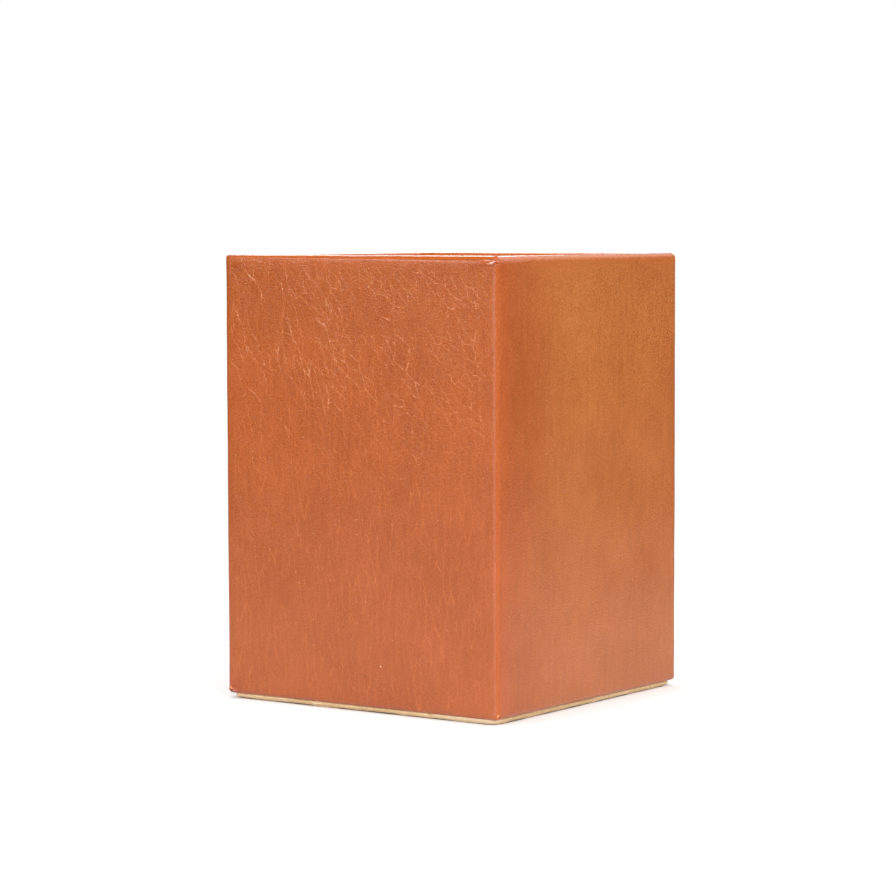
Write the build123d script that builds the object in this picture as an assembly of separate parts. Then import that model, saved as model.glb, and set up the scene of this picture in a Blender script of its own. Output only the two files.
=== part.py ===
"""A square leather-covered pen holder, in millimetres.

+Z is up and the origin is the centre of the underside. The front face looks along -Y.
Four wall boards and a floor board are glued up as an open box. One strip of leather is wrapped
round the walls, turned in over the rim, turned under at the heel and closed by a seam at the back.
Five card panels covered in suede line the pocket, and a raw-edged leather pad closes the underside.
"""

from build123d import *
import math
import os

# Overall size
width = 80.0
depth = 80.0
height = 108.0

# Outer leather, one strip with flaps pared thinner inside the rim and under the heel
leather = 1.0
rim_flap = 0.6
rim_flap_depth = 16.0
heel_flap = 0.8
heel_flap_width = 12.0
upright_radius = 1.8
rim_outer_radius = 1.8
rim_inner_radius = 0.9
heel_radius = 1.4
mitre_gap = 0.2
mitre_stop = 0.4
seam_gap = 0.2
seam_from_side = 8.0

# Fibreboard carcass
wall_board = 2.5
floor_board = 2.5
board_inner_radius = 0.4

# Lining panels, a card with suede drawn over its face and lapped round its back
lining_card = 0.8
suede = 0.4
suede_lap = 8.0
suede_radius = 0.3
lining_reveal = 6.0
panel_clearance = 0.15

# Underside
pad = 1.3
pad_inset = 1.1
pad_corner_radius = 2.2
pad_pared_edge = 0.7
filler_clearance = 0.3

# A cutting tool runs this far past the face that it cuts
overrun = 1.0

# Levels, from the desk up
heel_level = pad
carcass_level = heel_level + heel_flap
floor_level = carcass_level + floor_board
board_top = height - leather
flap_end = height - rim_flap_depth
lining_top = height - lining_reveal

# Plan sizes, each as (X, Y)
outer = (width, depth)
carcass = tuple(size - 2 * leather for size in outer)
inner = tuple(size - 2 * wall_board for size in carcass)
mouth = tuple(size - 2 * rim_flap for size in inner)
window = tuple(size - 2 * heel_flap_width for size in outer)
panel = lining_card + 2 * suede
pocket = tuple(size - 2 * panel for size in mouth)


def block(plan, low, high):
    """A rectangular block centred on the Z axis between two levels."""
    return Pos(0, 0, low) * Box(plan[0], plan[1], high - low, align=(Align.CENTER, Align.CENTER, Align.MIN))


def eased(solid, edges, radius):
    """The solid with those edges rounded, or as it is where the radius is nothing."""
    return fillet(edges, radius) if radius > 0 else solid


def uprights(solid):
    """The solid's vertical edges."""
    return solid.edges().filter_by(Axis.Z)


def edges_at(solid, level):
    """The solid's horizontal edges at one level."""
    return solid.edges().filter_by(Plane.XY).filter_by_position(Axis.Z, level, level)


def carcass_envelope():
    """The outside of the glued-up boards, with the edges sanded to suit the leather drawn round them."""
    solid = block(carcass, carcass_level, board_top)
    solid = eased(solid, uprights(solid), upright_radius - leather)
    return eased(solid, edges_at(solid, board_top), rim_outer_radius - leather)


def carcass_ring():
    """The four walls as one ring, which the wall boards are sawn from and the leather is fitted to."""
    ring = carcass_envelope() - block(inner, carcass_level - overrun, board_top + overrun)
    mouth_edges = edges_at(ring, board_top).sort_by(lambda edge: edge.center().length)[:4]
    return eased(ring, mouth_edges, board_inner_radius)


def wall_boards():
    """The four wall boards: front and back run the full width, left and right are butted between them."""
    ring = carcass_ring()
    between = block((width, inner[1]), 0, height)
    sides = ring & between
    ends = ring - between
    return {
        "front_wall_board": ends.solids().sort_by(Axis.Y)[0],
        "back_wall_board": ends.solids().sort_by(Axis.Y)[-1],
        "left_wall_board": sides.solids().sort_by(Axis.X)[0],
        "right_wall_board": sides.solids().sort_by(Axis.X)[-1],
    }


def floor_panel():
    """The floor board, glued between the walls and flush with their lower edges."""
    return block(inner, carcass_level, floor_level)


def leather_blank():
    """The leather's outside, rounded over the rim, the upright edges and the heel."""
    solid = block(outer, heel_level, height)
    solid = eased(solid, uprights(solid), upright_radius)
    solid = eased(solid, edges_at(solid, height), rim_outer_radius)
    return eased(solid, edges_at(solid, heel_level), heel_radius)


def corner_slits(plan, inside, gap, low, high):
    """Narrow cuts along the four diagonals, where two flaps meet in a mitre.

    Args:
        plan: Sizes of the rectangle whose corners the cuts run out to.
        inside: Sizes of the rectangle that the cuts start within.
        gap: Width of each cut.
        low: Lower level of the cuts.
        high: Upper level of the cuts.

    Returns:
        The four cutting blocks.
    """
    cuts = []
    for side_x in (-1, 1):
        for side_y in (-1, 1):
            far = Vector(side_x * plan[0] / 2, side_y * plan[1] / 2, low)
            run_in = (plan[0] - inside[0]) / 2 + overrun
            near = far - Vector(side_x * run_in, side_y * run_in, 0)
            middle = (near + far) / 2
            turn = math.degrees(math.atan2(side_y, side_x))
            cut = Box((far - near).length, gap, high - low, align=(Align.CENTER, Align.CENTER, Align.MIN))
            cuts.append(Location(middle, (0, 0, turn)) * cut)
    return cuts


def seam_cut():
    """The gap between the strip's two ends, down the back face near its left edge.

    Under the heel it runs in across the back flap, and ends where that flap meets the left one.
    """
    along_x = seam_from_side - width / 2
    reach = min(seam_from_side, heel_flap_width + overrun)
    return Pos(along_x, depth / 2 + overrun, heel_level - overrun) * Box(
        seam_gap, reach + overrun, height, align=(Align.CENTER, Align.MAX, Align.MIN)
    )


def leather_wrap():
    """The outer leather: one strip round the walls, with flaps inside the rim and under the heel."""
    skin = leather_blank() - block(mouth, flap_end - overrun, height + overrun)
    mouth_edges = edges_at(skin, height).sort_by(lambda edge: edge.center().length)[:4]
    skin = eased(skin, mouth_edges, rim_inner_radius)
    skin -= carcass_ring()
    skin -= block(inner, carcass_level, flap_end)
    skin -= block(window, heel_level - overrun, carcass_level + overrun)
    slit_reach = tuple(size - 2 * (upright_radius + mitre_stop) for size in outer)
    for cut in corner_slits(slit_reach, mouth, mitre_gap, flap_end - overrun, height + overrun):
        skin -= cut
    for cut in corner_slits(slit_reach, window, mitre_gap, heel_level - overrun, carcass_level):
        skin -= cut
    skin -= seam_cut()
    return skin


def lining(long, tall):
    """One lining panel lying on its back, its face up, centred on the origin.

    Args:
        long: Length of the panel along X.
        tall: Length of the panel along Y.

    Returns:
        The suede cover and the card inside it.
    """
    cover = block((long, tall), 0, panel)
    cover = eased(cover, uprights(cover) + edges_at(cover, panel), suede_radius)
    card = block((long - 2 * suede, tall - 2 * suede), suede, suede + lining_card)
    opening = (long - 2 * suede_lap, tall - 2 * suede_lap)
    cover = cover - card - block(opening, -overrun, suede)
    card_plan = (long - 2 * suede, tall - 2 * suede)
    for cut in corner_slits(card_plan, opening, mitre_gap, -overrun, suede):
        cover -= cut
    return cover, card


def stood_up(piece, turn, away):
    """A panel raised onto its lower edge on the floor board and set against one wall.

    Args:
        piece: The panel's part, lying on its back.
        turn: Turn about +Z, in degrees, from the front wall.
        away: Distance of the panel's back from the centre.

    Returns:
        The part in its place.
    """
    middle = (floor_level + lining_top) / 2
    face_inwards = Rot(0, 0, turn) * Pos(0, -away, middle) * Rot(-90, 0, 0)
    return face_inwards * piece


def lining_panels():
    """The four wall linings and the floor lining, which is dropped in last between them."""
    tall = lining_top - floor_level
    long_x = mouth[0] - 2 * panel_clearance
    long_y = pocket[1] - 2 * panel_clearance
    walls = {
        "front": (long_x, 0, mouth[1] / 2),
        "right": (long_y, 90, mouth[0] / 2),
        "back": (long_x, 180, mouth[1] / 2),
        "left": (long_y, 270, mouth[0] / 2),
    }
    found = {}
    for side, (long, turn, away) in walls.items():
        cover, card = lining(long, tall)
        found[f"{side}_lining_suede"] = stood_up(cover, turn, away)
        found[f"{side}_lining_card"] = stood_up(card, turn, away)
    cover, card = lining(pocket[0] - 2 * panel_clearance, pocket[1] - 2 * panel_clearance)
    found["floor_lining_suede"] = Pos(0, 0, floor_level) * cover
    found["floor_lining_card"] = Pos(0, 0, floor_level) * card
    return found


def base_filler():
    """The card that fills the space between the flaps under the floor board."""
    plan = tuple(size - 2 * filler_clearance for size in window)
    return block(plan, heel_level, carcass_level)


def base_pad():
    """The raw-edged leather pad that the holder stands on, its lower edge pared back at a slant."""
    solid = block(tuple(size - 2 * pad_inset for size in outer), 0, pad)
    solid = eased(solid, uprights(solid), pad_corner_radius)
    return chamfer(edges_at(solid, 0), pad_pared_edge)


def main():
    """Builds every piece and writes one STEP file for each."""
    pieces = {
        **wall_boards(),
        "floor_board": floor_panel(),
        "leather_wrap": leather_wrap(),
        **lining_panels(),
        "base_filler_card": base_filler(),
        "base_pad": base_pad(),
    }
    os.makedirs("parts", exist_ok=True)
    for name, solid in pieces.items():
        export_step(solid, f"parts/{name}.step")
        print(name, "volume", round(solid.volume, 1))


if __name__ == "__main__":
    main()
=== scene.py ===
"""Looks of a square leather-covered pen holder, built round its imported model.

Everything is in metres and in the model's own frame: +Z up, the origin under the middle of the base,
and the front face towards -Y. The wrap, the pad and the lining's suede are modelled afresh as sheets
of leather. The boards and cards inside them keep the model's shapes and get a finish.
"""

import logging
import math
from dataclasses import dataclass
from enum import Enum
from typing import Callable, Iterable

import bmesh
import bpy
from mathutils import Matrix, Vector
from mathutils.kdtree import KDTree


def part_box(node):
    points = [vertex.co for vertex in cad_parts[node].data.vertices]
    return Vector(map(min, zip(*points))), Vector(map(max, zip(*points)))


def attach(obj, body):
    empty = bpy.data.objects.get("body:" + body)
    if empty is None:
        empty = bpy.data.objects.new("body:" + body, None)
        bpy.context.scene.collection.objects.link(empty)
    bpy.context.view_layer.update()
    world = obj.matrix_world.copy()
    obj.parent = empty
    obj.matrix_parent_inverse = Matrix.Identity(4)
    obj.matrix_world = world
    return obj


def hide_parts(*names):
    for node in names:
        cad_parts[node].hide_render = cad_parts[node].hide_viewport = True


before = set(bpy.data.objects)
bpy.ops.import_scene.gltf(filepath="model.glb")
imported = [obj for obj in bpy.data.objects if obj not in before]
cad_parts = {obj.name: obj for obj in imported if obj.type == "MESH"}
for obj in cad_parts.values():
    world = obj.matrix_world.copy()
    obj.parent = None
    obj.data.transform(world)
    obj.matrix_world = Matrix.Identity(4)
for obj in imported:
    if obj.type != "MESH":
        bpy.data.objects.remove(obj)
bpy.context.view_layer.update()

log = logging.getLogger("pen_holder")

MM = 0.001
TINY = 0.01 * MM
QUARTER_TURN = 0.5 * math.pi

# The least share of a direction that a normal, or an edge, has where it is taken to point that way
FACING = 0.9
PARALLEL = 0.999

# The lining's panels stand this far inside the leather of the mouth
PANEL_CLEARANCE = 0.15 * MM

Edge = bmesh.types.BMEdge
Face = bmesh.types.BMFace
Node = bpy.types.Node
Socket = bpy.types.NodeSocket
Triple = tuple[float, float, float]
Colour = tuple[float, float, float]
Tints = tuple[Colour, Colour]
Range = tuple[float, float]


class Side(Enum):
    """The four sides of the holder, in the order that the strip of leather passes them."""

    FRONT = (0, -1)
    RIGHT = (1, 0)
    BACK = (0, 1)
    LEFT = (-1, 0)


# Mesh tools


def deselect_all() -> None:
    """Clears the selection, so that an operator acts on the new piece alone."""
    if bpy.context.object and bpy.context.object.mode != "OBJECT":
        bpy.ops.object.mode_set(mode="OBJECT")
    bpy.ops.object.select_all(action="DESELECT")


def new_block(name: str, low: Vector, high: Vector) -> bpy.types.Object:
    """Adds a block between two corners, with its place in its mesh.

    Args:
        name: Name of the piece.
        low: Its lowest corner.
        high: Its highest corner.

    Returns:
        The block, in edit mode, selected and active.
    """
    deselect_all()
    bpy.ops.mesh.primitive_cube_add(size=1, location=(low + high) / 2, scale=high - low)
    piece = bpy.context.object
    piece.name = name
    piece.data.name = name
    bpy.ops.object.transform_apply(location=True, rotation=True, scale=True)
    bpy.ops.object.mode_set(mode="EDIT")
    return piece


def edge_middle(edge: Edge) -> Vector:
    """The middle of an edge."""
    return (edge.verts[0].co + edge.verts[1].co) / 2


def edge_along(edge: Edge) -> Vector:
    """The direction of an edge, with no signs."""
    run = (edge.verts[1].co - edge.verts[0].co).normalized()
    return Vector((abs(run.x), abs(run.y), abs(run.z)))


class Part(Enum):
    """What can be picked out of a mesh, with the name of the mesh's list of them."""

    EDGE = "edges"
    FACE = "faces"


def pick(piece: bpy.types.Object, part: Part, wanted: Callable[[object], bool]) -> int:
    """Selects what a test wants in a piece in edit mode, and nothing else.

    Args:
        piece: The piece.
        part: Whether edges or faces are tested.
        wanted: Says which of them are selected.

    Returns:
        How many were selected.
    """
    bpy.ops.mesh.select_mode(type=part.name)
    bpy.ops.mesh.select_all(action="DESELECT")
    mesh = bmesh.from_edit_mesh(piece.data)
    found = [item for item in getattr(mesh, part.value) if wanted(item)]
    for item in found:
        item.select_set(True)
    bmesh.update_edit_mesh(piece.data)
    return len(found)


def pick_faces(piece: bpy.types.Object, wanted: Callable[[Face], bool]) -> None:
    """Selects the faces of a piece in edit mode that the test wants."""
    pick(piece, Part.FACE, wanted)


def divide_along(piece: bpy.types.Object, axis: int, spacing: float,
                 where: Callable[[Edge], bool] = lambda edge: True) -> None:
    """Divides the long edges that run along one axis into equal steps.

    Args:
        piece: The piece that is being edited.
        axis: 0, 1 or 2, for X, Y or Z.
        spacing: The widest step. An edge of less than one and a half steps stays whole.
        where: Says which of those edges are divided.
    """
    longest = 0.0

    def runs_along(edge: Edge) -> bool:
        """Picks an edge that is to be divided, and notes the longest.

        Args:
            edge: An edge of the piece.

        Returns:
            Whether it is divided.
        """
        nonlocal longest
        length = edge.calc_length()
        found = edge_along(edge)[axis] > PARALLEL and length > 1.5 * spacing and where(edge)
        longest = max(longest, length) if found else longest
        return found

    if pick(piece, Part.EDGE, runs_along):
        bpy.ops.mesh.subdivide(number_cuts=math.ceil(longest / spacing) - 1)


def apply_modifier(piece: bpy.types.Object, kind: str, **settings: object) -> None:
    """Adds a modifier to the active piece, sets it and applies it.

    Args:
        piece: The active piece, in object mode.
        kind: The modifier's type.
        settings: Its options, by name.
    """
    modifier = piece.modifiers.new(kind.title(), kind)
    for key, value in settings.items():
        setattr(modifier, key, value)
    bpy.ops.object.modifier_apply(modifier=modifier.name)


def round_edges(piece: bpy.types.Object, radius_of: Callable[[Vector, Vector], float], steps: int) -> None:
    """Rounds each edge of a piece in object mode to its own radius.

    Args:
        piece: The piece.
        radius_of: Gives the radius for an edge from its middle and its direction.
        steps: Number of faces across each rounding.
    """
    mesh = bmesh.new()
    mesh.from_mesh(piece.data)
    radii = [radius_of(edge_middle(edge), edge_along(edge)) for edge in mesh.edges]
    weights = mesh.edges.layers.float.new("bevel_weight_edge")
    for edge, radius in zip(mesh.edges, radii):
        edge[weights] = radius / max(radii)
    mesh.to_mesh(piece.data)
    mesh.free()
    apply_modifier(piece, "BEVEL", width=max(radii), segments=steps, limit_method="WEIGHT",
                   offset_type="OFFSET", use_clamp_overlap=True)


def cut_slot(piece: bpy.types.Object, point: Vector, across: Vector, gap: float,
             region: Callable[[Face], bool]) -> None:
    """Cuts a narrow slot through a sheet in edit mode.

    Args:
        piece: The sheet.
        point: A point on the slot's middle plane.
        across: The direction across the slot.
        gap: Width of the slot.
        region: Says which faces the knife goes through.
    """
    for side in (-0.5, 0.5):
        pick_faces(piece, region)
        bpy.ops.mesh.bisect(plane_co=point + side * gap * across, plane_no=across)

    def within(face: Face) -> bool:
        """Whether a face lies in the slot."""
        return region(face) and abs((face.calc_center_median() - point).dot(across)) < 0.5 * gap

    pick_faces(piece, within)
    bpy.ops.mesh.delete(type="FACE")


def undulate(piece: bpy.types.Object, ripple: float, height: float, group: str = "") -> None:
    """Gives a surface the slight unevenness of hide.

    Args:
        piece: The active piece, in object mode.
        ripple: How wide the swells are.
        height: From the lowest place to the highest.
        group: Vertex group that limits it.
    """
    texture = bpy.data.textures.new(f"{piece.name}_swell", "CLOUDS")
    texture.noise_scale = ripple
    texture.noise_depth = 1
    apply_modifier(piece, "DISPLACE", texture=texture, strength=height, mid_level=0.5,
                   texture_coords="LOCAL", vertex_group=group)
    bpy.data.textures.remove(texture)


def smooth(piece: bpy.types.Object, degrees: float = 45.0) -> None:
    """Shades a piece smooth, except across edges sharper than that.

    Args:
        piece: The piece.
        degrees: The angle over which an edge stays sharp.
    """
    deselect_all()
    piece.select_set(True)
    bpy.context.view_layer.objects.active = piece
    bpy.ops.object.shade_smooth_by_angle(angle=math.radians(degrees))


@dataclass(frozen=True)
class Stroke:
    """One pass of a bone folder or a thumb over soft leather, which raises or presses the surface.

    Attributes:
        path: The points that it passes.
        reach: How far to each side of its path it goes.
        height: How high it raises the surface, or below nought how deep it presses it.
    """

    path: tuple[Vector, ...]
    reach: float
    height: float

    def distance(self, place: Vector) -> float:
        """Measures how far a place is from the stroke's path.

        Args:
            place: The place.

        Returns:
            The least distance.
        """
        least = (place - self.path[0]).length
        for start, end in zip(self.path, self.path[1:]):
            run = end - start
            share = max(0.0, min(1.0, (place - start).dot(run) / run.length_squared))
            least = min(least, (place - start - share * run).length)
        return least


def work_surface(piece: bpy.types.Object, strokes: Iterable[Stroke]) -> None:
    """Moves the surface along its normals under each stroke, fading out over the stroke's reach.

    Args:
        piece: The piece, in object mode.
        strokes: The strokes, in their order.
    """
    vertices = piece.data.vertices
    tree = KDTree(len(vertices))
    for vertex in vertices:
        tree.insert(vertex.co, vertex.index)
    tree.balance()
    for stroke in strokes:
        middle = sum(stroke.path, Vector()) / len(stroke.path)
        radius = stroke.reach + max((point - middle).length for point in stroke.path)
        moves = {}
        for _, index, _ in tree.find_range(middle, radius):
            share = stroke.distance(vertices[index].co) / stroke.reach
            if share < 1:
                moves[index] = vertices[index].normal * stroke.height * (1 - share * share) ** 2
        for index, move in moves.items():
            vertices[index].co += move
        piece.data.update()


@dataclass(frozen=True)
class Fold:
    """A fold or a dent near a corner, all in millimetres.

    Attributes:
        path: Its places, each to the right of the corner and up from the upright edge's end.
        reach: How far to each side of its path it goes.
        height: How high it stands, or below nought how deep it is pressed.
    """

    path: tuple[tuple[float, float], ...]
    reach: float
    height: float

    def stroke(self, at: Callable[[float, float], Vector], size: float = 1.0) -> Stroke:
        """The stroke that makes the fold.

        Args:
            at: Gives the place on the surface for millimetres to the right and up.
            size: Share of the height that it is given.

        Returns:
            The stroke, in metres.
        """
        return Stroke(tuple(at(*place) for place in self.path), self.reach * MM, self.height * MM * size)


# Finishes


class Graph:
    """A material's nodes, with a short call for each kind that the finishes use."""

    def __init__(self, tree: bpy.types.NodeTree) -> None:
        """Takes the node tree that is to be filled."""
        self.nodes = tree.nodes
        self.links = tree.links

    def feed(self, socket: Socket, value: object) -> None:
        """Links a socket to another, or sets it to a value.

        Args:
            socket: The input.
            value: Another socket, or a value. A colour may come without its opacity.
        """
        if isinstance(value, bpy.types.NodeSocket):
            self.links.new(value, socket)
        elif isinstance(value, tuple) and len(value) < len(getattr(socket, "default_value", ())):
            socket.default_value = (*value, 1.0)
        else:
            socket.default_value = value

    def add(self, kind: str, inputs: dict | None = None, **settings: object) -> Node:
        """Adds a node.

        Args:
            kind: Its type.
            inputs: What its inputs are fed, by name or number.
            settings: Its options, by name.

        Returns:
            The node.
        """
        node = self.nodes.new(kind)
        for key, value in settings.items():
            setattr(node, key, value)
        for key, value in (inputs or {}).items():
            self.feed(node.inputs[key], value)
        return node

    def strip(self) -> Socket:
        """Coordinates along and up the strip of leather, in metres."""
        return self.add("ShaderNodeUVMap", uv_map="strip").outputs["UV"]

    def place(self) -> Socket:
        """Coordinates in the holder's own frame, in metres."""
        return self.add("ShaderNodeTexCoord").outputs["Object"]

    def axis(self, vector: Socket, name: str) -> Socket:
        """One coordinate of a vector."""
        return self.add("ShaderNodeSeparateXYZ", {0: vector}).outputs[name]

    def turned(self, vector: Socket, slope: float, stretch: float, shift: Triple = (0, 0, 0)) -> Socket:
        """Turns coordinates for a pattern that runs along a slope and is stretched that way.

        Args:
            vector: The coordinates.
            slope: The slope, in degrees.
            stretch: How much longer than wide the pattern is.
            shift: Where the pattern starts.

        Returns:
            The turned coordinates.
        """
        return self.add("ShaderNodeMapping", {
            "Vector": vector,
            "Location": shift,
            "Rotation": (0, 0, math.radians(slope)),
            "Scale": (stretch, 1, 1),
        }, vector_type="TEXTURE").outputs[0]

    def noise(self, vector: Socket, size: float, detail: float = 2.0, rough: float = 0.5,
              distortion: float = 0.0) -> Socket:
        """Draws a cloudy pattern.

        Args:
            vector: The coordinates that it is drawn on.
            size: Size of its lumps.
            detail: How many finer layers are laid over the lumps.
            rough: How strong the finer layers are.
            distortion: How far the lumps are swirled.

        Returns:
            The pattern, whose values lie about a half.
        """
        return self.add("ShaderNodeTexNoise", {
            "Vector": vector,
            "Scale": 1 / size,
            "Detail": detail,
            "Roughness": rough,
            "Distortion": distortion,
        }).outputs["Fac"]

    def cells(self, vector: Socket, size: float, feature: str = "F1") -> Node:
        """A flat pattern of cells of about that size."""
        return self.add("ShaderNodeTexVoronoi", {"Vector": vector, "Scale": 1 / size},
                        voronoi_dimensions="2D", feature=feature)

    def spot(self, middle: Triple, size: Triple, core: float = 0.45) -> Socket:
        """Draws a mask for one small spot.

        Args:
            middle: Its middle.
            size: Its half sizes.
            core: The share of them inside which it is full.

        Returns:
            One in its core, and nought outside its half sizes.
        """
        within = self.add("ShaderNodeMapping", {"Vector": self.place(), "Location": middle, "Scale": size},
                          vector_type="TEXTURE").outputs[0]
        return self.remap(self.length(within), core, 1.0, 1.0, 0.0)

    def remap(self, value: Socket, low: float, high: float, first: float = 0.0, last: float = 1.0) -> Socket:
        """A value taken smoothly from one range to another, and held at its ends.

        Args:
            value: The value.
            low: Where its range starts.
            high: Where it ends.
            first: The result at the start.
            last: The result at the end.

        Returns:
            The result.
        """
        return self.add("ShaderNodeMapRange", {
            "Value": value,
            "From Min": low,
            "From Max": high,
            "To Min": first,
            "To Max": last,
        }, interpolation_type="SMOOTHSTEP", clamp=True).outputs["Result"]

    def math(self, operation: str, first: object, second: object = 0.0) -> Socket:
        """The result of an operation on one or two values."""
        return self.add("ShaderNodeMath", {0: first, 1: second}, operation=operation).outputs[0]

    def product(self, first: object, *others: object) -> Socket:
        """Multiplies several values.

        Args:
            first: The first of them.
            others: The others.

        Returns:
            Their product.
        """
        for other in others:
            first = self.math("MULTIPLY", first, other)
        return first

    def total(self, first: object, *others: object) -> Socket:
        """Adds several values.

        Args:
            first: The first of them.
            others: The others.

        Returns:
            Their sum.
        """
        for other in others:
            first = self.math("ADD", first, other)
        return first

    def mix(self, *parts: tuple[object, float]) -> Socket:
        """The sum of several values, each with its weight."""
        return self.total(*(self.product(value, weight) for value, weight in parts))

    def vector(self, operation: str, first: object, second: object) -> Socket:
        """The result of an operation on two vectors."""
        return self.add("ShaderNodeVectorMath", {0: first, 1: second}, operation=operation).outputs[0]

    def length(self, vector: Socket) -> Socket:
        """The length of a vector."""
        return self.add("ShaderNodeVectorMath", {0: vector}, operation="LENGTH").outputs["Value"]

    def wander(self, vector: Socket, size: float, amount: float) -> Socket:
        """Makes coordinates stray from their place, so that lines drawn on them waver.

        Args:
            vector: The coordinates.
            size: How wide the waves are.
            amount: How far they stray.

        Returns:
            The strayed coordinates.
        """
        noise = self.add("ShaderNodeTexNoise", {"Vector": vector, "Scale": 1 / size, "Detail": 2.0})
        # The noise lies about a half, so it strays both ways once a half is taken off
        stray = self.vector("SUBTRACT", noise.outputs["Color"], (0.5, 0.5, 0.5))
        scaled = self.add("ShaderNodeVectorMath", {0: stray, "Scale": amount}, operation="SCALE").outputs[0]
        return self.vector("ADD", vector, scaled)

    def blend(self, share: object, base: object, over: object, mode: str = "MIX") -> Socket:
        """One colour laid over another."""
        # A Mix node's two colours are its inputs 6 and 7, and their mix is its output 2
        node = self.add("ShaderNodeMix", {0: share, 6: base, 7: over}, data_type="RGBA", blend_type=mode)
        return node.outputs[2]

    def tint(self, share: object, base: object, over: object) -> Socket:
        """A colour multiplied by another, as far as the share says."""
        return self.blend(share, base, over, "MULTIPLY")

    def bump(self, height: Socket, relief: float, under: Socket | None = None) -> Socket:
        """Makes a surface relief.

        Args:
            height: Its heights, where one is the whole relief.
            relief: How high that is, in metres.
            under: Another relief that it lies over.

        Returns:
            The surface's normal.
        """
        node = self.add("ShaderNodeBump", {"Height": height, "Distance": relief, "Strength": 1.0})
        if under is not None:
            self.feed(node.inputs["Normal"], under)
        return node.outputs[0]


class Finish:
    """A material in the making: its nodes and its shader."""

    def __init__(self, name: str) -> None:
        """Starts a material with its shader and output.

        Args:
            name: Name of the material.
        """
        self.material = bpy.data.materials.new(name)
        self.material.use_nodes = True
        self.graph = Graph(self.material.node_tree)
        self.shader = self.material.node_tree.nodes["Principled BSDF"]

    def set(self, **inputs: object) -> bpy.types.Material:
        """Feeds the shader's inputs.

        Args:
            inputs: What they are fed, by their names in small letters with underscores.

        Returns:
            The material.
        """
        for key, value in inputs.items():
            name = key.replace("_", " ").title().replace("Ior", "IOR")
            self.graph.feed(self.shader.inputs[name], value)
        return self.material


@dataclass(frozen=True)
class Layer:
    """A cloudy layer of a finish.

    Attributes:
        size: Size of its lumps, in metres.
        detail: How many finer layers are laid over the lumps.
        rough: How strong the finer layers are.
        slope: The way that the lumps are stretched, in degrees from the strip's length.
        stretch: How much longer than wide they are.
        distortion: How far the lumps are swirled.
    """

    size: float
    detail: float = 2.0
    rough: float = 0.5
    slope: float = 0.0
    stretch: float = 1.0
    distortion: float = 0.0

    def draw(self, graph: Graph, vector: Socket) -> Socket:
        """Draws the layer.

        Args:
            graph: The material's nodes.
            vector: The coordinates that it is drawn on.

        Returns:
            The pattern, whose values lie about a half.
        """
        if self.stretch != 1.0:
            vector = graph.turned(vector, self.slope, self.stretch)
        return graph.noise(vector, self.size, self.detail, self.rough, self.distortion)


@dataclass(frozen=True)
class Mark:
    """A nick, a speck or a stain, or a spot of painted highlight or painted shade.

    Attributes:
        middle: Its middle, in metres.
        size: Its half sizes.
        colour: Its colour.
        strength: How far it covers what is under it.
    """

    middle: Triple
    size: Triple
    colour: Colour
    strength: float = 1.0

    def lay(self, graph: Graph, ground: Socket) -> Socket:
        """Lays the mark over a ground.

        Args:
            graph: The material's nodes.
            ground: The colour of the ground.

        Returns:
            The colour with the mark on it.
        """
        share = graph.spot(self.middle, self.size)
        if self.strength != 1.0:
            share = graph.product(share, self.strength)
        return graph.blend(share, ground, self.colour)


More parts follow.
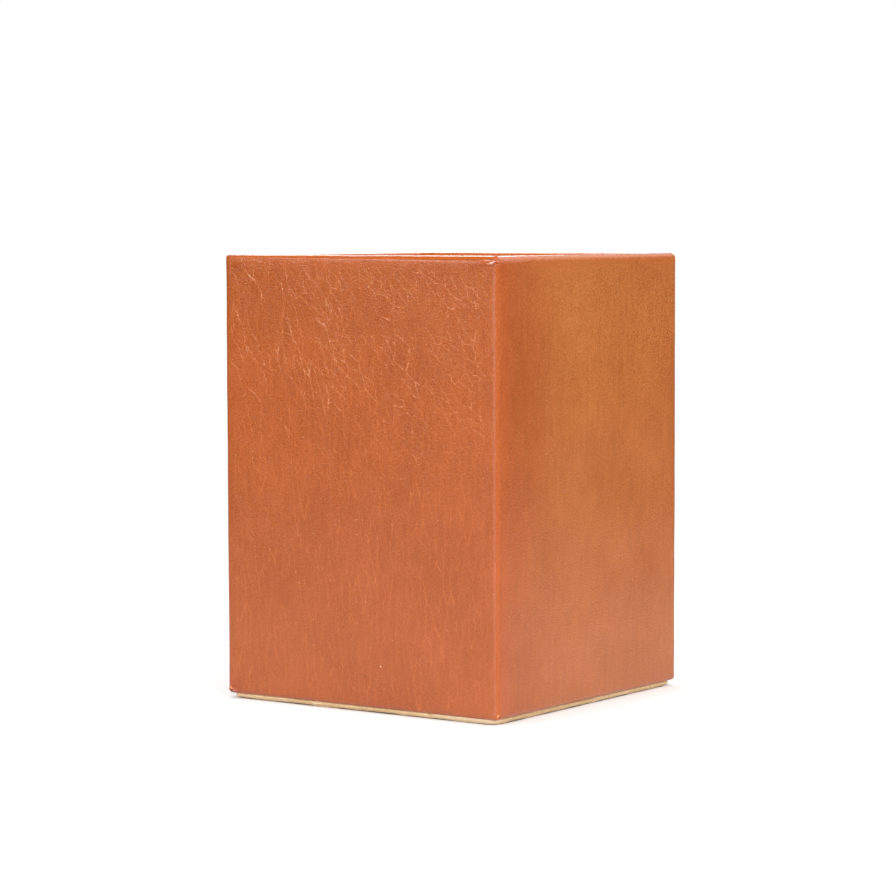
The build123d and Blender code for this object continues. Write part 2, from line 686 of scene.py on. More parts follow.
@dataclass(frozen=True)
class CreaseSet:
    """A family of fine creases in hide, drawn along the borders between long cells.

    Attributes:
        slope: The way that the creases run, in degrees from the strip's length.
        spacing: Width of the cells.
        stretch: How much longer than wide the cells are.
        thread: Half the width of a crease.
        waver: How far a crease strays.
        branching: Strength of the borders that run across.
        gap: Size of the breaks in the creases.
        gaps: The two levels of a noise between which a crease fades in.
        shift: Where the pattern starts, so that no two sets lie alike.
        strength: How strongly the set shows among the others.
        wanders: A slow stray and a quick one, in shares of the spacing and of the waver.
        crosswise: The slants of a border at which it counts as across and as lengthwise.
        faint: Share of the borders that are faint.
        solid: Share of the thread that has its full strength.
        halo: How far the crease's soft foot reaches, in threads.
        halo_strength: How strong that foot is.
        gap_stretch: How much longer than wide the breaks are.
        pressure: The noise that makes the creases uneven.
        pressure_levels: The levels of that noise at which a crease is weakest and strongest.
        weakest: Strength of a crease where it is weakest.
    """

    slope: float
    spacing: float
    stretch: float
    thread: float
    waver: float
    branching: float
    gap: float
    gaps: Range
    shift: Triple
    strength: float
    wanders: tuple[Range, Range] = ((2.5, 1.0), (0.45, 0.6))
    crosswise: Range = (0.15, 0.42)
    faint: float = 0.2
    solid: float = 0.2
    halo: float = 4.0
    halo_strength: float = 0.12
    gap_stretch: float = 1.8
    pressure: Layer = Layer(1.4 * MM, 1.0)
    pressure_levels: Range = (0.36, 0.60)
    weakest: float = 0.62

    def draw(self, graph: Graph, strip: Socket) -> Socket:
        """Draws the creases.

        Args:
            graph: The material's nodes.
            strip: Coordinates on the strip.

        Returns:
            A mask, one on a crease and nought off it.
        """
        strayed = strip
        for size, reach in self.wanders:
            strayed = graph.wander(strayed, size * self.spacing, reach * self.waver)
        turned = graph.turned(strayed, self.slope, self.stretch, self.shift)
        near, far = graph.cells(turned, self.spacing), graph.cells(turned, self.spacing, "F2")
        span = graph.vector("SUBTRACT", far.outputs["Position"], near.outputs["Position"])
        length = graph.length(span)
        # How far off the border a place lies, from how much nearer it is to one cell's point than to the next
        squares = graph.math("SUBTRACT", graph.math("POWER", far.outputs["Distance"], 2.0),
                             graph.math("POWER", near.outputs["Distance"], 2.0))
        away = graph.math("DIVIDE", graph.product(squares, 0.5 * self.spacing * self.spacing), length)
        slant = graph.math("DIVIDE", graph.math("ABSOLUTE", graph.axis(span, "Y")), length)
        lengthwise = graph.remap(slant, *self.crosswise, self.branching, 1.0)
        # Each pair of cells has its own number, which says whether their border is a faint one
        pair = graph.math("FRACT", graph.total(graph.axis(near.outputs["Color"], "X"),
                                               graph.axis(far.outputs["Color"], "X")))
        plain = graph.remap(pair, 0.0, self.faint)
        line = graph.remap(away, self.solid * self.thread, self.thread, 1.0, 0.0)
        halo = graph.remap(away, 0.0, self.halo * self.thread, self.halo_strength, 0.0)
        broken = graph.noise(graph.turned(strip, self.slope, self.gap_stretch, self.shift), self.gap, 1.0)
        uneven = graph.remap(self.pressure.draw(graph, strip), *self.pressure_levels, self.weakest, 1.0)
        return graph.product(graph.math("MAXIMUM", line, halo), lengthwise, plain, uneven,
                             graph.remap(broken, *self.gaps))


@dataclass(frozen=True)
class SmoothLeather:
    """Waxed orange-tan leather: brown and orange mottling, pale creases, rubbed edges.

    Attributes:
        half_side: Half the holder's width.
        top: Height of the rim.
        brown: The darker of the hide's two colours.
        orange: The lighter of them.
        hide_levels: The sums of the mottling at which the hide is all brown and all orange.
        rubbed: Colour where the leather is rubbed.
        thread: Colour of a faint crease.
        crease: Colour of a strong one.
        speck: Colour of the scattered specks.
        speck_spacing: Width of the cells of which a few hold a speck.
        front_veil_tints: Painted reflection on the front: what the hide is multiplied by, low and high, bluer
            low down where the white table shows in its gloss and warmer high up.
        side_light_tints: Painted light and reflection on the other sides: what the hide is multiplied by, low
            and high, paler and bluer, most so high up.
        grain_tints: What the dark and the pale speckles multiply it by.
        edge_light_tint: Painted light: what the hide is multiplied by just past the front's right edge, a
            lighter, warmer strip.
        roughness: Roughness of the surface before mottling and wear change it.
        grain_relief: Height of the grain.
        mottle_relief: Height of the mottling, and of the creases sunk in it.
        clouds: The broadest layer of the mottling.
        streaks: Its upright streaks.
        mottle: Its middling lumps, which the surface follows as well.
        grain: Its fine grain, likewise.
        pores: Its pores, likewise.
        speckle: The layer that the grain's tints follow.
        scuffs: The layer that breaks up the rubbed places.
        drawn: Long creases, as if the hide had been drawn down.
        net: A net of shorter ones.
        fine: Fine upright ones.
        marks: The nicks, specks and stains, and spots of painted highlight and painted shade, each in its
            place.
    """

    half_side: float
    top: float
    brown: Colour = (0.317, 0.0660, 0.0120)
    orange: Colour = (0.398, 0.0940, 0.0212)
    hide_levels: Range = (1.30, 1.90)
    rubbed: Colour = (0.465, 0.098, 0.020)
    thread: Colour = (0.490, 0.128, 0.030)
    crease: Colour = (0.680, 0.330, 0.190)
    speck: Colour = (0.620, 0.360, 0.250)
    speck_spacing: float = 2.6 * MM
    front_veil_tints: Tints = ((1.0, 1.02, 1.14), (0.99, 0.96, 0.74))
    side_light_tints: Tints = ((1.10, 1.36, 1.56), (1.15, 1.54, 1.72))
    grain_tints: Tints = ((0.925, 0.80, 0.67), (1.075, 1.20, 1.33))
    edge_light_tint: Colour = (1.10, 1.06, 1.02)
    roughness: float = 0.27
    grain_relief: float = 0.10 * MM
    mottle_relief: float = 0.06 * MM
    clouds: Layer = Layer(22 * MM, 3.0, 0.55)
    streaks: Layer = Layer(1.3 * MM, 2.0, 0.6, slope=88, stretch=7.0)
    mottle: Layer = Layer(2.4 * MM, 3.0, 0.6, slope=80, stretch=1.6)
    grain: Layer = Layer(0.50 * MM, 2.0, 0.65)
    pores: Layer = Layer(0.30 * MM, 1.0)
    speckle: Layer = Layer(0.45 * MM, 2.0, 0.7, slope=80, stretch=1.3)
    scuffs: Layer = Layer(3 * MM, 3.0)
    drawn: CreaseSet = CreaseSet(
        slope=-71, spacing=2.4 * MM, stretch=4.2, thread=0.066 * MM, waver=2.4 * MM, branching=0.15,
        gap=7 * MM, gaps=(0.40, 0.55), shift=(0.011, 0.003, 0), strength=0.82)
    net: CreaseSet = CreaseSet(
        slope=-49, spacing=2.1 * MM, stretch=2.4, thread=0.062 * MM, waver=2.2 * MM, branching=0.45,
        gap=6 * MM, gaps=(0.37, 0.53), shift=(0.004, 0.017, 0), strength=0.74)
    fine: CreaseSet = CreaseSet(
        slope=-84, spacing=1.9 * MM, stretch=4.6, thread=0.078 * MM, waver=1.7 * MM, branching=0.12,
        gap=5 * MM, gaps=(0.38, 0.56), shift=(0.020, 0.009, 0), strength=0.44)
    marks: tuple[Mark, ...] = (
        # A nick at the near corner of the heel
        Mark((0.03969, -0.03921, 0.00245), (0.00028, 0.00028, 0.00042), (0.700, 0.390, 0.190)),
        # The heel's left corner: a painted highlight along its ridge in three lengths, a raw spot, and a dark
        # spot under it
        Mark((-0.03870, -0.03990, 0.00268), (0.00045, 0.00080, 0.00036), (0.850, 0.340, 0.160)),
        Mark((-0.03790, -0.04000, 0.00240), (0.00060, 0.00080, 0.00030), (0.600, 0.150, 0.070)),
        Mark((-0.03700, -0.04000, 0.00208), (0.00070, 0.00080, 0.00026), (0.560, 0.140, 0.060)),
        Mark((-0.03776, -0.03980, 0.00196), (0.00030, 0.00080, 0.00030), (0.350, 0.220, 0.120)),
        Mark((-0.03852, -0.03975, 0.00178), (0.00052, 0.00080, 0.00042), (0.080, 0.050, 0.050)),
        # A pale and a dark speck low on the front
        Mark((0.00680, -0.04000, 0.01140), (0.00026, 0.00050, 0.00026), (0.800, 0.420, 0.260)),
        Mark((0.00200, -0.04000, 0.00870), (0.00034, 0.00050, 0.00020), (0.110, 0.040, 0.045)),
        # The fold at the rim's near corner: painted shade in its groove, and a painted highlight on its crest
        # in three pale lengths
        Mark((0.03965, -0.03850, 0.10695), (0.00070, 0.00016, 0.00055), (0.090, 0.060, 0.030)),
        Mark((0.03795, -0.04000, 0.10624), (0.00060, 0.00120, 0.00022), (0.480, 0.220, 0.140)),
        Mark((0.03850, -0.03995, 0.10648), (0.00055, 0.00120, 0.00028), (0.640, 0.420, 0.380)),
        Mark((0.03898, -0.03980, 0.10675), (0.00045, 0.00120, 0.00028), (0.620, 0.400, 0.360)),
    )

    def creased(self, graph: Graph, strip: Socket) -> Socket:
        """Draws the creases: long ones and a net high on the front, fine ones all over it.

        Args:
            graph: The material's nodes.
            strip: Coordinates on the strip.

        Returns:
            How strongly each place is creased, from nought to one.
        """
        half, top = self.half_side, self.top
        along, up = graph.axis(strip, "X"), graph.axis(strip, "Y")
        # The hide lies loose on the front, and is drawn tight past its edges and under the rim
        loose = graph.product(graph.remap(along, half - 6 * MM, half + 1 * MM, 1.0, 0.06),
                              graph.remap(along, -1.00 * half, -0.88 * half, 0.35, 1.0),
                              graph.remap(up, top - 5 * MM, top - 2 * MM, 1.0, 0.45))
        upper = graph.remap(up, 0.40 * top, 0.78 * top)
        lower = graph.remap(up, 0.35 * top, 0.75 * top, 1.0, 0.75)
        leftward = graph.remap(along, -0.30 * half, 0.15 * half, 1.0, 0.15)
        rightward = graph.remap(along, -0.90 * half, 0.05 * half, 0.35, 1.0)
        strength = graph.total(
            graph.product(self.drawn.draw(graph, strip), upper, leftward, loose, self.drawn.strength),
            graph.product(self.net.draw(graph, strip), upper, rightward, loose, self.net.strength),
            graph.product(self.fine.draw(graph, strip), lower, loose, self.fine.strength),
        )
        return graph.math("MINIMUM", strength, 1.0)

    def paint_side_light(self, graph: Graph, ground: Socket, along: Socket, up: Socket) -> Socket:
        """Paints light and reflection onto the hide, side by side and by height, with a lighter strip past
        the front's right edge.

        Args:
            graph: The material's nodes.
            ground: The hide's own colour.
            along: How far along the strip a place is.
            up: How far up it is.

        Returns:
            The tinted colour.
        """
        half = self.half_side
        height = graph.remap(up, 0.15 * self.top, 0.90 * self.top)
        on_front = graph.remap(along, half - 1 * MM, half + 1 * MM, 1.0, 0.0)
        # Painted reflection: the front is made bluer low down, where the white table shows in its gloss, and
        # warmer high up
        ground = graph.tint(on_front, ground, graph.blend(height, *self.front_veil_tints))
        past_front = graph.remap(along, half - 1 * MM, 1.75 * half)
        # Painted light and reflection: the sides past the front are made paler and bluer, more so higher up
        ground = graph.tint(past_front, ground, graph.blend(height, *self.side_light_tints))
        # Painted light: a lighter, warmer strip just past the front's right edge
        by_edge = graph.product(graph.remap(along, half - 1 * MM, half + 0.5 * MM),
                                graph.remap(along, half + 1 * MM, half + 8 * MM, 1.0, 0.0))
        return graph.tint(by_edge, ground, self.edge_light_tint)

    def specked(self, graph: Graph, strip: Socket) -> Socket:
        """Draws a few small specks, each in a cell of its own.

        Args:
            graph: The material's nodes.
            strip: Coordinates on the strip.

        Returns:
            Their mask.
        """
        cell = graph.cells(strip, self.speck_spacing)
        chosen = graph.remap(graph.axis(cell.outputs["Color"], "X"), 0.93, 0.95)
        return graph.product(graph.remap(cell.outputs["Distance"], 0.03, 0.06, 0.7, 0.0), chosen)

    def make(self) -> bpy.types.Material:
        """Builds the material.

        Returns:
            The material.
        """
        finish = Finish("wrap_leather")
        graph = finish.graph
        strip = graph.strip()
        along, up = graph.axis(strip, "X"), graph.axis(strip, "Y")
        wear = graph.add("ShaderNodeAttribute", attribute_name="wear").outputs["Fac"]
        creases = self.creased(graph, strip)

        clouds, streaks = self.clouds.draw(graph, strip), self.streaks.draw(graph, strip)
        grain, pores = self.grain.draw(graph, strip), self.pores.draw(graph, strip)
        mottle = self.mottle.draw(graph, strip)
        mixed = graph.mix((clouds, 0.8), (streaks, 0.5), (mottle, 0.4), (grain, 1.0), (pores, 0.5))
        ground = graph.blend(graph.remap(mixed, *self.hide_levels), self.brown, self.orange)
        # Painted light and reflection laid over the hide's colour, side by side and by height
        ground = self.paint_side_light(graph, ground, along, up)
        rough_hide = graph.remap(up, 0.25 * self.top, 0.85 * self.top, 0.45, 1.0)
        speckles = graph.remap(self.speckle.draw(graph, strip), 0.36, 0.64)
        ground = graph.tint(rough_hide, ground, graph.blend(speckles, *self.grain_tints))

        scuffs = graph.product(wear, graph.remap(self.scuffs.draw(graph, strip), 0.25, 0.6, 0.55, 0.95))
        ground = graph.blend(scuffs, ground, self.rubbed)
        # A faint crease takes the thread's colour alone, and a strong one turns pale
        ground = graph.blend(graph.math("MINIMUM", graph.product(creases, 2.2), 0.95), ground, self.thread)
        ground = graph.blend(graph.remap(creases, 0.35, 0.90, 0.0, 0.85), ground, self.crease)
        ground = graph.blend(self.specked(graph, strip), ground, self.speck)
        # Nicks, specks and stains, with the painted highlights and painted shade at the corners
        for mark in self.marks:
            ground = mark.lay(graph, ground)

        # The grain is drawn flat over the rim's roll
        tight = graph.remap(up, self.top - 1.7 * MM, self.top - 0.2 * MM, 1.0, 0.25)
        pebbled = graph.product(graph.total(grain, graph.product(pores, 0.6)), tight)
        relief = graph.bump(pebbled, self.grain_relief)
        relief = graph.bump(graph.total(mottle, graph.product(creases, -0.5)), self.mottle_relief, relief)
        roughness = graph.total(self.roughness, graph.product(mottle, 0.12), graph.product(wear, -0.13))
        return finish.set(base_color=ground, roughness=roughness, ior=1.50, normal=relief)


@dataclass(frozen=True)
class RawLeather:
    """Undyed leather cut with a knife, its edge fibrous, with painted shade along its lower arris where it
    meets the table.

    Attributes:
        pale: Colour between the fibres.
        fibre: Colour of the fibres.
        levels: The sums of the pattern at which it is all fibre and all pale.
        contact_shade: Colour of the painted shade along the lower arris, where the pad meets the table.
        shade_height: How far up the painted shade reaches, where it reaches least and most.
        contact_shade_edge: Half the height over which the painted shade ends.
        pale_patch: A paler place, by the near corner.
        lying: How much flatter than wide the fibres lie.
        relief: Height of the fibres.
        fibres: The layer that the fibres follow.
        clouds: The layer that makes some stretches paler than others.
        shade_tide: The layer that the painted shade's height follows.
    """

    pale: Colour = (0.720, 0.535, 0.325)
    fibre: Colour = (0.560, 0.372, 0.190)
    levels: Range = (0.62, 0.98)
    contact_shade: Colour = (0.075, 0.055, 0.045)
    shade_height: Range = (0.05 * MM, 0.38 * MM)
    contact_shade_edge: float = 0.05 * MM
    pale_patch: Mark = Mark((0.036, -0.039, 0.0008), (0.018, 0.0030, 0.0020), (0.820, 0.690, 0.530), 0.34)
    lying: float = 3.2
    relief: float = 0.12 * MM
    fibres: Layer = Layer(1.1 * MM, 4.0, 0.65, distortion=0.6)
    clouds: Layer = Layer(6 * MM)
    shade_tide: Layer = Layer(9 * MM, 3.0, 0.6)

    def make(self) -> bpy.types.Material:
        """Builds the material.

        Returns:
            The material.
        """
        finish = Finish("base_leather")
        graph = finish.graph
        place = graph.place()
        lying = graph.add("ShaderNodeMapping", {"Vector": place, "Scale": (1, 1, self.lying)}).outputs[0]
        fibres = self.fibres.draw(graph, lying)
        clouds = self.clouds.draw(graph, place)
        share = graph.remap(graph.total(fibres, graph.product(clouds, 0.5)), *self.levels, 1.0, 0.0)
        ground = self.pale_patch.lay(graph, graph.blend(share, self.pale, self.fibre))
        # Painted shade: a dark band of uneven height along the lower arris, where the pad meets the table
        shade_height = graph.remap(self.shade_tide.draw(graph, place), 0.30, 0.70, *self.shade_height)
        above = graph.math("SUBTRACT", graph.axis(place, "Z"), shade_height)
        in_shade = graph.remap(above, -self.contact_shade_edge, self.contact_shade_edge, 1.0, 0.0)
        return finish.set(base_color=graph.blend(in_shade, ground, self.contact_shade), roughness=0.85,
                          normal=graph.bump(fibres, self.relief))


@dataclass(frozen=True)
class Suede:
    """Sand-coloured suede with a short nap, brushed lighter and darker in patches.

    Attributes:
        sand: The lighter of its two colours.
        shade: The darker of them.
        levels: The sums of the pattern at which it is all shade and all sand.
        relief: Height of the nap.
        brushed: The layer of the brushed patches.
        tufts: The layer of the tufts.
        nap: The layer of single fibres.
    """

    sand: Colour = (0.400, 0.264, 0.148)
    shade: Colour = (0.264, 0.164, 0.088)
    levels: Range = (0.8, 1.35)
    relief: float = 0.06 * MM
    brushed: Layer = Layer(14 * MM, 3.0, 0.6, distortion=0.8)
    tufts: Layer = Layer(1.1 * MM, 2.0, 0.6)
    nap: Layer = Layer(0.4 * MM, 3.0, 0.7)

    def make(self) -> bpy.types.Material:
        """Builds the material.

        Returns:
            The material.
        """
        finish = Finish("lining_suede")
        graph = finish.graph
        place = graph.place()
        brushed, nap = self.brushed.draw(graph, place), self.nap.draw(graph, place)
        tufts = self.tufts.draw(graph, place)
        mixed = graph.mix((brushed, 1.1), (nap, 0.5), (tufts, 0.5))
        return finish.set(
            base_color=graph.blend(graph.remap(mixed, *self.levels), self.shade, self.sand),
            roughness=0.95,
            sheen_weight=0.22,
            sheen_roughness=0.45,
            sheen_tint=(1.0, 0.84, 0.66),
            normal=graph.bump(graph.total(nap, graph.product(tufts, 0.6)), self.relief),
        )


@dataclass(frozen=True)
class PressedBoard:
    """Board or card pressed from fibres, in a light and a dark shade.

    Attributes:
        name: Name of the material.
        light: The lighter of its two colours.
        dark: The darker of them.
        fleck: Size of its flecks.
        levels: The sums of the pattern at which it is all dark and all light.
        relief: Height of the flecks.
        clouds: The layer of the broad patches.
    """

    name: str
    light: Colour
    dark: Colour
    fleck: float
    levels: Range = (0.55, 0.85)
    relief: float = 0.04 * MM
    clouds: Layer = Layer(16 * MM)

    def make(self) -> bpy.types.Material:
        """Builds the material.

        Returns:
            The material.
        """
        finish = Finish(self.name)
        graph = finish.graph
        place = graph.place()
        flecks = Layer(self.fleck, 4.0, 0.7, distortion=0.4).draw(graph, place)
        clouds = self.clouds.draw(graph, place)
        share = graph.remap(graph.total(flecks, graph.product(clouds, 0.4)), *self.levels)
        return finish.set(base_color=graph.blend(share, self.dark, self.light), roughness=0.9,
                          normal=graph.bump(flecks, self.relief))


# The leather and suede pieces


@dataclass
class LeatherWrap:
    """The outer leather: one strip round the walls, turned in over the rim and under at the heel.

    Attributes:
        low: The lowest corner of its outside.
        high: The highest corner.
        mouth: Half the width between the flaps inside the rim.
        flap_depth: How far down the inside the rim's flap goes.
        heel_flap: How far in the heel's flap goes.
        upright_radius: Radius of the upright edges.
        rim_outer_radius: Radius of the rim's roll on the outside.
        rim_inner_radius: Radius of the rim's inner edge.
        heel_radius: Radius of the heel's edge.
        tightness: Places along the strip, from the middle of the front, each with how far the rim's
            roll opens there, as a share of its full radius.
        arc_steps: Faces across each rounded edge.
        weave: Widest face on the walls.
        heel_cuts: Cuts across each flap under the heel.
        refinements: How far round the ends of the upright edges the faces are quartered, each time
            with the least width of a face that still is.
        face_depth: How deep a face may lie and still count as outside.
        swells: The width and height of the hide's slow swells and of its quick ones.
        skin: Full thickness of the leather.
        rim_share: Share of it that is left on the rim's flap.
        heel_share: Share of it that is left on the heel's flap.
        slot: Width of the mitres and of the seam.
        mitre_stop: How far the mitres stop short of the rounding.
        seam_from_side: Distance of the seam from the left side, on the back.
        seam_reach: How far the faces beside the seam are cut to suit it.
        seam_eases: Where they are cut, from the seam.
        hair: How far inside its face a corner is laid out flat, as a share of the way to the middle.
        worn_bearing: Where an upright edge is rubbed most, in degrees round it.
        worn_spread: How many degrees to each side of that it is rubbed.
        rim_wear: How far the rim is rubbed, and how far down.
        heel_wear: How far the heel is rubbed, and how far up.
        fold_sizes: The rim's corners, each with the size of its folds.
        rim_folds: The folds gathered at a corner of the rim.
        heel_folds: The bulge and the dents at a corner of the heel.
    """

    low: Vector
    high: Vector
    mouth: float
    flap_depth: float = 16 * MM
    heel_flap: float = 12 * MM
    upright_radius: float = 1.8 * MM
    rim_outer_radius: float = 1.8 * MM
    rim_inner_radius: float = 0.9 * MM
    heel_radius: float = 1.4 * MM
    tightness: tuple[Range, ...] = (
        (-0.126, 1.0), (-0.100, 0.55), (-0.038, 0.38), (0.0, 0.58), (0.030, 0.86), (0.0385, 0.96),
        (0.041, 1.0), (0.0465, 1.0), (0.054, 0.78), (0.080, 0.70), (0.118, 0.66), (0.190, 1.0))
    arc_steps: int = 8
    weave: float = 1.7 * MM
    heel_cuts: int = 7
    refinements: tuple[Range, ...] = ((7 * MM, 0.0), (4.5 * MM, 0.0), (2.8 * MM, 0.16 * MM))
    face_depth: float = 2.4 * MM
    swells: tuple[Range, ...] = ((16 * MM, 0.16 * MM), (4.5 * MM, 0.05 * MM))
    skin: float = 1.0 * MM
    rim_share: float = 0.6
    heel_share: float = 0.8
    slot: float = 0.2 * MM
    mitre_stop: float = 0.4 * MM
    seam_from_side: float = 8.0 * MM
    seam_reach: float = 4 * MM
    seam_eases: tuple[float, ...] = (-1.2 * MM, -0.5 * MM, 0.5 * MM, 1.2 * MM)
    hair: float = 0.001
    worn_bearing: float = 54.0
    worn_spread: float = 25.0
    rim_wear: Range = (0.8, 2.6 * MM)
    heel_wear: Range = (0.4, 1.2 * MM)
    fold_sizes: tuple[tuple[int, int, float], ...] = ((1, -1, 1.0), (-1, -1, 0.3), (1, 1, 0.4), (-1, 1, 0.9))
    rim_folds: tuple[Fold, ...] = (
        # The peak, and the ridge that falls from it to the left
        Fold(((0.8, -0.12),), 0.58, 0.38),
        Fold(((0.1, -0.4), (-0.6, -0.8)), 0.35, 0.12),
        # The groove round the peak's right side, and the pad of leather inside it
        Fold(((0.65, -0.35), (1.15, -0.8), (1.45, -1.35)), 0.26, -0.26),
        Fold(((0.6, -0.75),), 0.35, 0.14),
        # The groove under that pad, and the ridge below the groove
        Fold(((0.2, -1.70), (1.25, -1.70)), 0.24, -0.22),
        Fold(((0.2, -2.10), (1.3, -2.05)), 0.32, 0.12),
        # The ridge that climbs to the peak from the left, with its long tail and the hollow over it
        Fold(((-1.3, -2.0), (-0.6, -1.75), (0.0, -1.25)), 0.36, 0.19),
        Fold(((-3.9, -1.75), (-2.0, -1.80), (-1.3, -1.85)), 0.50, 0.13),
        Fold(((-3.0, -1.15), (-1.2, -1.15), (-0.4, -0.8)), 0.38, -0.13),
        # Three tucks that die away to the right
        Fold(((2.4, -0.3), (3.4, -1.1)), 0.30, 0.06),
        Fold(((4.0, -0.25), (5.2, -1.2)), 0.35, 0.07),
        Fold(((6.2, -0.3), (7.6, -1.2)), 0.40, 0.05),
    )
    heel_folds: tuple[Fold, ...] = (
        # The bulge, the dent across it and the ridge over the dent
        Fold(((0.0, 0.6),), 1.2, 0.18),
        Fold(((-0.1, 0.55), (0.9, 0.75)), 0.38, -0.35),
        Fold(((-1.0, 1.2), (0.3, 1.35), (1.4, 1.1)), 0.35, 0.06),
    )

    def build(self) -> bpy.types.Object:
        """Models the wrap.

        Returns:
            The wrap, in object mode.
        """
        piece = self.cut_blank()
        round_edges(piece, self.edge_radius, self.arc_steps)
        bpy.ops.object.mode_set(mode="EDIT")
        self.divide(piece)
        self.cut_mitres(piece)
        self.cut_seam(piece)
        bpy.ops.object.mode_set(mode="OBJECT")
        self.tighten_rim(piece)
        self.lay_out_strip(piece)
        self.mark_wear(piece)
        self.weigh_thickness(piece)
        for ripple, height in self.swells:
            undulate(piece, ripple, height)
        work_surface(piece, self.strokes())
        apply_modifier(piece, "SOLIDIFY", thickness=self.skin, offset=-1.0, vertex_group="thickness",
                       use_quality_normals=True)
        smooth(piece)
        return piece

    def cut_blank(self) -> bpy.types.Object:
        """Opens a block at the mouth and under the heel, which leaves the flaps.

        Returns:
            The blank, in object mode.
        """
        piece = new_block("wrap", self.low, self.high)
        pick_faces(piece, lambda face: face.normal.z > FACING)
        bpy.ops.mesh.inset(thickness=self.high.x - self.mouth)
        bpy.ops.mesh.extrude_region_move(TRANSFORM_OT_translate={"value": (0, 0, -self.flap_depth)})
        bpy.ops.mesh.delete(type="ONLY_FACE")
        pick_faces(piece, lambda face: face.normal.z < -FACING)
        bpy.ops.mesh.inset(thickness=self.heel_flap)
        bpy.ops.mesh.delete(type="ONLY_FACE")
        bpy.ops.object.mode_set(mode="OBJECT")
        return piece

    def edge_radius(self, middle: Vector, along: Vector) -> float:
        """Gives the radius that an edge of the blank is rounded to.

        Args:
            middle: The edge's middle.
            along: Its direction, with no signs.

        Returns:
            The radius, or nought for an edge that stays sharp.
        """
        outside = max(abs(middle.x), abs(middle.y)) > self.high.x - TINY
        if along.z > FACING:
            return self.upright_radius if outside else 0.0
        if middle.z > self.high.z - TINY and max(along.x, along.y) > FACING:
            return self.rim_outer_radius if outside else self.rim_inner_radius
        return self.heel_radius if outside and middle.z < self.low.z + TINY else 0.0

    def depth_in(self, place: Vector) -> float:
        """Measures how far in from the wrap's outer face a place lies, seen in plan.

        Args:
            place: The place.

        Returns:
            The depth.
        """
        core = self.high.x - self.upright_radius
        beyond = Vector((abs(place.x) - core, abs(place.y) - core))
        if min(beyond) > 0:
            return self.upright_radius - beyond.length
        return self.upright_radius - max(beyond)

    def divide(self, piece: bpy.types.Object) -> None:
        """Divides the faces finely enough to be worked like soft leather, most finely at the corners.

        Args:
            piece: The wrap, in edit mode.
        """
        halfway = 0.5 * (self.high.x - self.mouth)
        divide_along(piece, 0, self.weave)
        divide_along(piece, 1, self.weave)
        divide_along(piece, 2, self.weave, lambda edge: self.depth_in(edge_middle(edge)) < halfway)
        divide_along(piece, 2, self.weave, lambda edge: self.depth_in(edge_middle(edge)) > halfway)

        def crosses_heel(edge: Edge) -> bool:
            """Whether an edge runs across a flap under the heel."""
            first, second = (self.depth_in(vertex.co) for vertex in edge.verts)
            return edge_middle(edge).z < self.low.z + TINY and abs(first - second) > 0.5 * self.heel_flap

        pick(piece, Part.EDGE, crosses_heel)
        bpy.ops.mesh.subdivide(number_cuts=self.heel_cuts)
        for reach, least in self.refinements:
            pick_faces(piece, lambda face: self.by_an_end(face, reach) and face.calc_area() > least * least)
            bpy.ops.mesh.subdivide(number_cuts=1)
        nearest = self.refinements[-1][0]
        pick_faces(piece, lambda face: self.by_an_end(face, nearest))
        bpy.ops.mesh.vertices_smooth(factor=0.5, repeat=2)

    def by_an_end(self, face: Face, reach: float) -> bool:
        """Says whether a face lies on the outside by one end of an upright edge.

        Args:
            face: The face.
            reach: How far from that end it may lie.

        Returns:
            Whether it does.
        """
        middle = face.calc_center_median()
        plan = min(abs(middle.x), abs(middle.y)) > self.high.x - reach
        level = min(self.high.z - middle.z, middle.z - self.low.z) < reach
        return plan and level and self.depth_in(middle) < self.face_depth

    def cut_mitres(self, piece: bpy.types.Object) -> None:
        """Slits the flaps along the diagonals at the rim and under the heel.

        Args:
            piece: The wrap, in edit mode.
        """
        end = self.high.x - self.upright_radius - self.mitre_stop
        flap_end = self.high.z - self.flap_depth
        for sign_x in (-1, 1):
            for sign_y in (-1, 1):
                def on_flap(face: Face) -> bool:
                    """Says whether a face lies on a flap, in this corner.

                    Args:
                        face: The face.

                    Returns:
                        Whether it does.
                    """
                    middle = face.calc_center_median()
                    plan = (middle.x * sign_x, middle.y * sign_y)
                    level = middle.z > flap_end - TINY or middle.z < self.low.z + 10 * TINY
                    return level and min(plan) > 0 and max(plan) < end

                corner = Vector((sign_x, sign_y, 0)) * self.mouth
                cut_slot(piece, corner, Vector((-sign_y, sign_x, 0)).normalized(), self.slot, on_flap)

    def cut_seam(self, piece: bpy.types.Object) -> None:
        """Parts the strip's two ends, down the back near its left edge.

        Args:
            piece: The wrap, in edit mode.
        """
        place = Vector((self.low.x + self.seam_from_side, 0, 0))

        def at_the_back(face: Face) -> bool:
            """Whether a face lies on the back, beside the seam."""
            middle = face.calc_center_median()
            return middle.y > self.high.y - self.seam_from_side and abs(middle.x - place.x) < self.seam_reach

        for ease in self.seam_eases:
            pick_faces(piece, at_the_back)
            bpy.ops.mesh.bisect(plane_co=place + Vector((ease, 0, 0)), plane_no=(1, 0, 0))
        cut_slot(piece, place, Vector((1, 0, 0)), self.slot, at_the_back)

